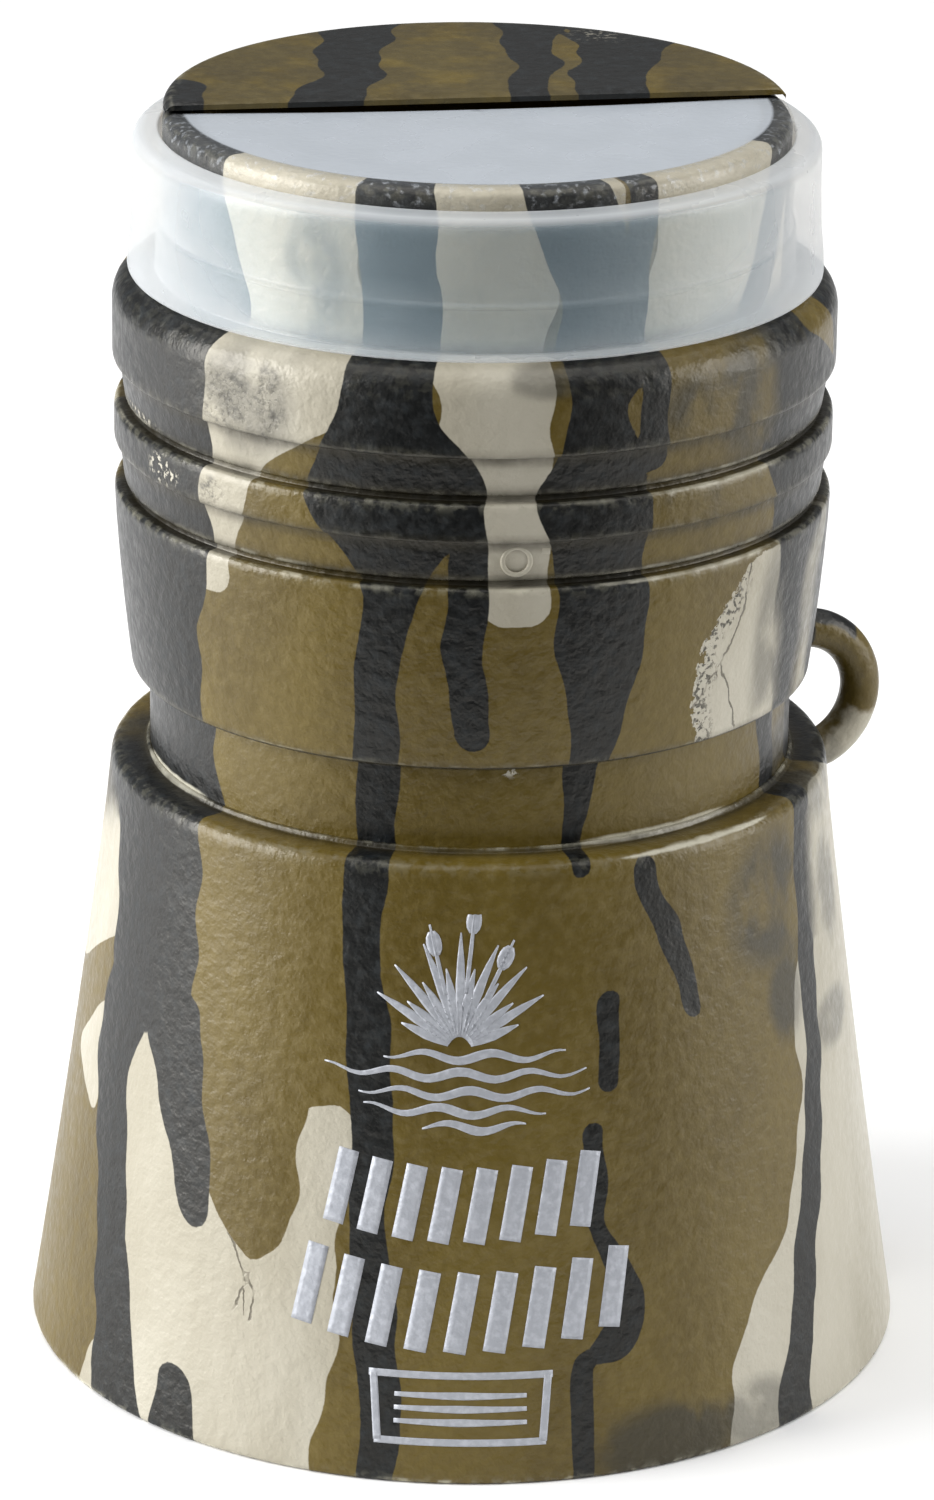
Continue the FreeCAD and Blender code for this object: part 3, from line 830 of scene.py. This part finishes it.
def plate():
    """Half-disc over the rear of the mouth, rounded at its rim, with its half-ring spigot below."""
    rows, columns = 60, 121
    side = 90 * np.sin(np.radians(np.linspace(-88.5, 88.5, columns)))
    share = np.linspace(0, 1, rows) ** 0.75
    round_start = PLATE_RADIUS - PLATE_ROUND
    top = []
    for t in share:
        for angle in side:
            x = PLATE_RADIUS * math.sin(math.radians(angle))
            y = PLATE_RADIUS * math.cos(math.radians(angle)) * t
            out = max(0.0, math.hypot(x, y) - round_start) / PLATE_ROUND
            drop = PLATE_ROUND * (1 - math.sqrt(max(0.0, 1 - out * out)))
            front = 0.12 * max(0.0, 1 - y / 0.15)
            top.append((x, y, PLATE_TOP - drop - front))
    top = np.array(top)
    bottom = top.copy()
    bottom[:, 2] = np.where(top[:, 1] < 1.5, RIM_TOP + PLATE_GAP, RIM_TOP)
    verts, faces = join_layers(top, bottom, rows, columns)
    foot = RIM_TOP - SPIGOT_DEPTH
    spigot = [(SPIGOT_INNER, foot), (SPIGOT_OUTER, foot), (SPIGOT_OUTER, RIM_TOP), (SPIGOT_INNER, RIM_TOP)]
    under, under_faces = sweep_grid(np.array(spigot), np.linspace(94, 266, 90), False)
    faces += [tuple(len(verts) + k for k in face) for face in under_faces]
    verts = np.concatenate([verts, under])
    local_x, local_y = verts[:, 0].copy(), verts[:, 1].copy()
    reach = np.hypot(local_x, local_y)
    values = {
        "edge": unit(1 - np.abs(reach - round_start - 0.2) / 0.5) * 0.6,
        "cream": np.full(len(verts), OUTSIDE),
        "flake": np.full(len(verts), OUTSIDE),
        "dark": deepest(PLATE_DRIPS, local_x, local_y, 1.0),
        "chips": unit(1 - np.hypot(local_x - 11, local_y - 16) / 4) * 0.25,
        "smudge": np.full(len(verts), 0.25),
    }
    obj = make_object("plate", to_mouth(verts), faces, values)
    obj.data.set_sharp_from_angle(angle=math.radians(50))
    return obj


def latex_reed():
    """One sheet: a half-moon across the window, drawn over the rim and down inside the ring."""
    bend_radius, bend_z = RIM_RADIUS - RIM_ROUND, RIM_TOP - RIM_ROUND
    across = np.concatenate([np.linspace(0.001, 0.93, 28), np.linspace(0.94, 1, 12)]) * bend_radius
    turn_over = np.radians(np.linspace(90, 0, 9)[1:])
    down = np.linspace(bend_z, LATEX_LOW[2], 16)[1:]
    angles = np.linspace(-90, 90, 181)
    top, bottom = [], []
    for layer, lift in ((top, LATEX), (bottom, -LATEX_PRESS)):
        for angle in angles:
            a = math.radians(angle)
            profile = [(r, RIM_TOP + lift) for r in across]
            size = RIM_ROUND + lift
            profile += [(bend_radius + size * math.cos(t), bend_z + size * math.sin(t)) for t in turn_over]
            profile += [(RIM_RADIUS + lift, z) for z in down]
            for r, z in profile:
                layer.append((r * math.sin(a), -r * math.cos(a), z))
    columns = len(across) + len(turn_over) + len(down)
    verts, faces = join_layers(np.array(top), np.array(bottom), len(angles), columns)
    reach = np.hypot(verts[:, 0], verts[:, 1])
    inside = unit(reach / WINDOW_RADIUS)
    depth = np.sqrt(np.clip((RIM_RADIUS + LATEX) ** 2 - verts[:, 0] ** 2, 0.01, None))
    bow = 0.4 - 0.5 * (np.abs(verts[:, 0]) / RIM_RADIUS) ** 3
    keep = unit(1 + verts[:, 1] / depth)
    verts[:, 1] -= bow * keep * np.where(verts[:, 2] > RIM_TOP - 0.9, 1, 0.35)
    verts[:, 2] -= 0.16 * (1 - inside ** 2) ** 1.5
    cling = unit((reach - CLEAR_RADIUS) / 0.2)
    flutter = unit(1 - inside ** 2)
    # Painted highlight flecks on the sheet where it clings over the rim.
    glint_fleck = 0.3 * cling * unit((verts[:, 2] - RIM_TOP + 1.4) / 0.6)
    sheet = make_object("latex_reed", to_mouth(verts), faces, {"cloud": 1 - cling, "glint_fleck": glint_fleck})
    return sheet, flutter


def ring():
    corners = [
        (RING_COUNTERBORE, RING_LOW[2], 0.15),
        (RING_RADIUS, RING_LOW[2], 0.3),
        (RING_RADIUS, RING_LOW[2] + 1.0, 0.5),
        (RING_BAND_RADIUS + 0.1, RING_STEP_Z, 0.6),
        (RING_BAND_RADIUS, RING_STEP_Z + 3, 0.5),
        (RING_BAND_RADIUS, RING_HIGH[2] - 0.45, 0.7),
        (RING_BORE, RING_HIGH[2], 0.2),
        (RING_BORE, RING_STEP_Z, 0.1),
        (RING_COUNTERBORE, RING_STEP_Z - 0.25, 0.1),
    ]
    points = divide(soften(corners))
    edge, _ = corner_weights(points)
    top = unit((points[:, 1] - RING_HIGH[2] + 0.9) / 0.4)
    top = top * np.clip((points[:, 0] - 22.4) / 0.5, 0.4, 1)
    foot = unit((RING_LOW[2] + 0.35 - points[:, 1]) / 0.3)
    skirt = 0.25 * unit((RING_LOW[2] + 4 - points[:, 1]) / 3)
    thick = unit(np.max([top, foot, edge * 0.5, skirt], axis=0))
    verts, faces, _ = shell(points)
    return make_object("clamp_ring", verts, faces, {"frost": np.tile(thick, SEGMENTS)})


# ---- pad print ---------------------------------
def bell_radius(z):
    """The bell's outer radius at a height."""
    points = np.array(bell_flank(80))
    return np.interp(z, points[:, 1], points[:, 0])


class Print:
    """Ribbons of ink on the bell, drawn on a flat sheet of X along the front and Z up."""

    def __init__(self):
        self.verts = []
        self.faces = []

    def ribbon(self, path, widths):
        """Flat strip along a path; widths are read along it from start to end."""
        path = np.asarray(path, float)
        steps = max(2, math.ceil(np.linalg.norm(np.diff(path, axis=0), axis=1).sum() / 0.4))
        t = np.linspace(0, 1, steps + 1)
        line = np.stack([np.interp(t, np.linspace(0, 1, len(path)), path[:, k]) for k in (0, 1)], axis=1)
        width = np.interp(t, np.linspace(0, 1, len(widths)), widths)
        along = np.gradient(line, axis=0)
        along /= np.linalg.norm(along, axis=1)[:, None]
        normal = np.stack([-along[:, 1], along[:, 0]], axis=1)
        strips = 4
        start = len(self.verts)
        for lift in (0.03, -0.04):
            for k in range(strips + 1):
                flat = line + normal * ((k / strips - 0.5) * width)[:, None]
                radius = bell_radius(flat[:, 1])
                azimuth = np.degrees(flat[:, 0] / WAIST_RADIUS)
                self.verts.extend(round_tube(radius + lift, azimuth, flat[:, 1]))
        count = len(line) * (strips + 1)
        _, faces = join_layers(np.zeros((count, 3)), np.zeros((count, 3)), strips + 1, len(line))
        self.faces.extend(tuple(start + k for k in face) for face in faces)


def print_on_bell():
    """A plain emblem: a tuft of reeds over water lines, two rows of slanted bars and a ruled frame."""
    p = Print()
    root = 30.4
    for k, lean in enumerate(np.linspace(-66, 66, 15)):
        a = math.radians(lean)
        length = (8.2 if k % 2 else 6.0) - 1.6 * abs(lean) / 66
        along = np.linspace(1.0, length, 10)
        path = [(-0.4 + s * math.sin(a * (0.7 + 0.4 * s / length)), root + s * math.cos(a)) for s in along]
        p.ribbon(path, [0.2, 0.55, 0.7, 0.5, 0.1])
    for lean, length in ((-15, 9.0), (6, 10.4), (27, 8.6)):
        a = math.radians(lean)
        stem, head = ([(-0.4 + s * math.sin(a), root + s * math.cos(a)) for s in np.linspace(*ends, 6)]
                      for ends in ((4.0, length), (length - 2.2, length - 0.5)))
        p.ribbon(stem, [0.3, 0.3, 0.15])
        p.ribbon(head, [0.5, 1.1, 1.15, 1.1, 0.5])
    for row, (height, half) in enumerate(((30.0, 6.5), (28.7, 9.4), (27.4, 8.2), (26.2, 6.4), (25.1, 3.6))):
        centre = 0.7 * (-1) ** row
        path = [(centre + x, height + 0.28 * math.sin(1.3 * x + row)) for x in np.linspace(-half, half, 30)]
        p.ribbon(path, [0.1, 0.45, 0.65, 0.45, 0.1])
    for low, high, half, count in ((17.0, 22.2, 8.4, 8), (9.3, 14.9, 10.2, 9)):
        for x in np.linspace(-half, half, count):
            lift = 0.012 * x * x
            p.ribbon([(x - 0.45, low + lift), (x + 0.45, high + lift)], [1.45, 1.45])
    low, high, left, right = 3.0, 7.7, -5.6, 5.6
    for path in ([(left - 0.3, high), (right + 0.3, high)], [(left + 0.2, low), (right - 0.2, low)],
                 [(left, high), (left + 0.4, low)], [(right, high), (right - 0.4, low)]):
        p.ribbon(path, [0.5, 0.5])
    for share in (0.3, 0.5, 0.7):
        height = low + (high - low) * share
        p.ribbon([(-4.2, height), (4.2, height)], [0.3, 0.55, 0.3])
    return make_object("bell_print", np.array(p.verts), p.faces)


# ---- stage -------------------------------------
def card(name, half, front, back, z):
    """Flat rectangle that reaches as far to either side."""
    corners = [(-half, front, z), (half, front, z), (half, back, z), (-half, back, z)]
    return make_object(name, corners, [(0, 1, 2, 3)])


def floor():
    obj = card("floor", 3000, -3000, 3000, 0)
    obj.data.materials.append(floor_material())


def flag():
    """Black card on the floor ahead, seen only by the call, so its front stays darker than its sides."""
    obj = card("flag", 260, -1300, -110, 1)
    g = Graph("black_card")
    base = g.mix(g.band(g.noise(20.0), 0.3, 0.7), colour(20, 20, 20), colour(26, 26, 26))
    obj.data.materials.append(g.set(Base_Color=base, Roughness=0.9))
    obj.visible_camera = False
    obj.visible_shadow = False


def lamp(name, place, target, width, height, power):
    """Soft box at a place in metres, turned to a target."""
    data = bpy.data.lights.new(name, "AREA")
    data.shape = "RECTANGLE"
    data.size, data.size_y = width, height
    data.energy = power
    obj = bpy.data.objects.new(name, data)
    bpy.context.scene.collection.objects.link(obj)
    direction = Vector([t - p for t, p in zip(target, place)])
    obj.location = place
    obj.rotation_euler = direction.to_track_quat("-Z", "Y").to_euler()


AMBIENT, BACKDROP = 0.2, 0.9     # what lights the call, and how bright the far wall is seen


def studio():
    scene = bpy.context.scene
    world = bpy.data.worlds.new("studio")
    world.use_nodes = True
    world.node_tree.nodes["Background"].inputs["Color"].default_value = (1, 1, 1, 1)
    nodes, links = world.node_tree.nodes, world.node_tree.links
    seen = nodes.new("ShaderNodeMapRange")
    seen.inputs["To Min"].default_value = AMBIENT
    seen.inputs["To Max"].default_value = BACKDROP
    links.new(nodes.new("ShaderNodeLightPath").outputs["Is Camera Ray"], seen.inputs["Value"])
    links.new(seen.outputs["Result"], nodes["Background"].inputs["Strength"])
    scene.world = world
    scene.view_settings.view_transform = "Standard"
    middle = (0, 0, 0.05)
    lamp("left_box", (-0.6, -0.1, 0.24), middle, 0.45, 0.5, 7.0)
    lamp("right_box", (0.6, -0.06, 0.24), middle, 0.35, 0.5, 2.9)
    lamp("top_box", (0.0, 0.15, 0.9), (0, 0.1, 0), 1.3, 1.3, 8.2)


def camera():
    """Looks down at the front through a long lens, with a slight roll."""
    pitch, roll = math.radians(20.23), math.radians(0.753)
    distance, height = 0.4658, 0.04225
    data = bpy.data.cameras.new("camera")
    data.lens = 157.8
    data.clip_start = 0.01
    obj = bpy.data.objects.new("camera", data)
    place = (-0.000136, -distance * math.cos(pitch), height + distance * math.sin(pitch))
    obj.matrix_world = (
        Matrix.Translation(place)
        @ Matrix.Rotation(math.pi / 2 - pitch, 4, "X")
        @ Matrix.Rotation(roll, 4, "Z")
    )
    bpy.context.scene.collection.objects.link(obj)
    bpy.context.scene.camera = obj


# ---- assembly ----------------------------------
def place_piece(obj, material, body, slot, *nodes):
    obj.data.materials.append(material)
    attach(obj, body)
    if nodes:
        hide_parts(*nodes)


def main():
    camera()
    studio()
    floor()
    flag()
    camo = camo_material()
    place_piece(bell(), camo, "bell", "camo_plastic", "bell_horn")
    place_piece(neck(), camo, "bell", "camo_plastic", "neck_tube")
    place_piece(eye(), camo, "bell", "camo_plastic", "lanyard_eye")
    place_piece(print_on_bell(), ink_material(), "bell", "camo_plastic")
    place_piece(barrel(), camo, "barrel", "camo_plastic", "barrel_shell")
    place_piece(barrel_gate(), camo, "barrel", "camo_plastic")
    place_piece(plate(), camo, "barrel", "camo_plastic", "mouth_plate")
    frosted = veil_material("frosted_plastic", colour(184, 210, 224), colour(198, 202, 205),
                            (0.98, 0.96, 0.93, 1), 0.16, 0.44, 0.34, "frost", 0.26)
    place_piece(ring(), frosted, "ring", "frosted_plastic", "retaining_ring")

    sheet, flutter = latex_reed()
    rubbery = veil_material("latex_sheet", colour(190, 194, 198), colour(178, 184, 191), (0.98, 0.97, 0.95, 1),
                            0.035, 0.84, 0.07, "cloud", 0.2)
    sheet.data.materials.append(rubbery)
    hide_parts("latex_skirt", "latex_tongue")
    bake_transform(sheet)

    seal = bpy.data.objects["neck_o_ring"]
    seal.data.materials.clear()
    seal.data.materials.append(rubber_material())


main()
